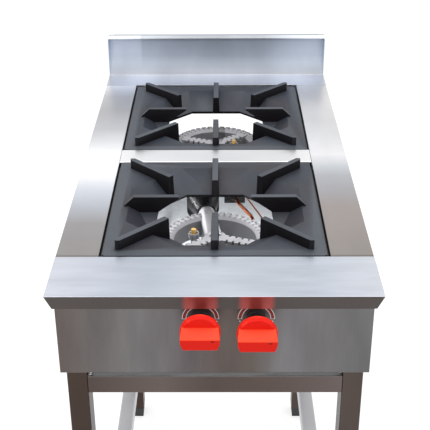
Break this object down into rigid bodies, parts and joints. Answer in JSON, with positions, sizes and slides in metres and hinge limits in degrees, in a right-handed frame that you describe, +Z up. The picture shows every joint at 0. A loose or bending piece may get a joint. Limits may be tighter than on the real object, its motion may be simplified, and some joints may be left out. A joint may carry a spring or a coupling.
{
  "type": "stock pot range",
  "caption": "Free-standing gas stock pot range: steel hob with square cast grates over ring burners, leaning splashback, knob panel and open leg stand with drip tray.",
  "frame": {"origin": "on the floor, under the middle of the range's overall length and width", "axes": "+Z up, +Y towards the splashback, so the knobs face -Y, and +X to the right as seen from the front"},
  "size_m": [0.45, 0.948, 0.969],
  "materials": {
    "hob_steel": "brushed",
    "body_steel": "brushed",
    "stand_steel": "brushed",
    "zinc_sheet": "smooth",
    "cast_grate": "rough cast",
    "burner_metal": "cast",
    "black_enamel": "satin",
    "brass": "turned",
    "copper": "drawn tube",
    "pipe_steel": "satin",
    "red_plastic": "gloss",
    "black_plastic": "matte",
    "sole_rubber": "matte"
  },
  "bodies": {
    "range_body": {"burner_supports": "zinc_sheet", "control_panel": "body_steel", "cross_strip": "hob_steel", "fasteners": "zinc_sheet", "foot_soles": "sole_rubber", "front_feed_pipe": "copper", "front_injector": "brass", "front_landing": "hob_steel", "front_left_leg": "stand_steel", "front_mixer": "black_enamel", "front_pilot": "burner_metal", "front_pilot_pipe": "copper", "front_right_leg": "stand_steel", "front_ring_burner": "burner_metal", "front_upper_rail": "stand_steel", "gas_inlet": "pipe_steel", "gas_manifold": "pipe_steel", "injector_hangers": "zinc_sheet", "left_bezel": "black_plastic", "left_lower_stretcher": "stand_steel", "left_side_panel": "body_steel", "left_side_strip": "hob_steel", "left_tray_runner": "zinc_sheet", "left_upper_rail": "stand_steel", "left_valve_body": "brass", "leg_feet": "stand_steel", "mid_cross_member": "zinc_sheet", "pilot_tips": "brass", "rear_feed_pipe": "copper", "rear_injector": "brass", "rear_left_leg": "stand_steel", "rear_mixer": "black_enamel", "rear_pilot": "burner_metal", "rear_pilot_pipe": "copper", "rear_right_leg": "stand_steel", "rear_ring_burner": "burner_metal", "rear_splashback": "hob_steel", "rear_upper_rail": "stand_steel", "right_bezel": "black_plastic", "right_lower_stretcher": "stand_steel", "right_side_panel": "body_steel", "right_side_strip": "hob_steel", "right_tray_runner": "zinc_sheet", "right_upper_rail": "stand_steel", "right_valve_body": "brass", "splash_back_plate": "body_steel", "supply_elbow": "pipe_steel", "supply_pipe": "pipe_steel"},
    "left_valve_plug": {"left_valve_plug": "brass"},
    "left_knob": {"left_knob": "red_plastic", "left_knob_insert": "black_plastic", "left_valve_spindle": "brass"},
    "right_valve_plug": {"right_valve_plug": "brass"},
    "right_knob": {"right_knob": "red_plastic", "right_knob_insert": "black_plastic", "right_valve_spindle": "brass"},
    "front_grate": {"front_grate": "cast_grate"},
    "rear_grate": {"rear_grate": "cast_grate"},
    "drip_tray": {"drip_tray": "zinc_sheet"}
  },
  "joints": [
    {"name": "left_knob_turn", "type": "hinge", "parent": "range_body", "child": "left_valve_plug", "pos_m": [-0.0185, -0.3856, 0.849], "axis": [0, -1, 0], "range_deg": [-90, 90]},
    {"name": "left_knob_press", "type": "slide", "parent": "left_valve_plug", "child": "left_knob", "axis": [0, 1, 0], "range_m": [0, 0.003], "stiffness_N_per_m": 1500, "springref_m": -0.002},
    {"name": "right_knob_turn", "type": "hinge", "parent": "range_body", "child": "right_valve_plug", "pos_m": [0.0563, -0.3856, 0.849], "axis": [0, -1, 0], "range_deg": [-90, 90]},
    {"name": "right_knob_press", "type": "slide", "parent": "right_valve_plug", "child": "right_knob", "axis": [0, 1, 0], "range_m": [0, 0.003], "stiffness_N_per_m": 1500, "springref_m": -0.002},
    {"name": "front_grate_lift", "type": "slide", "parent": "range_body", "child": "front_grate", "axis": [0, 0, 1], "range_m": [0, 0.15]},
    {"name": "rear_grate_lift", "type": "slide", "parent": "range_body", "child": "rear_grate", "axis": [0, 0, 1], "range_m": [0, 0.15]},
    {"name": "drip_tray_slide", "type": "slide", "parent": "range_body", "child": "drip_tray", "axis": [0, -1, 0], "range_m": [0, 0.45]}
  ]
}
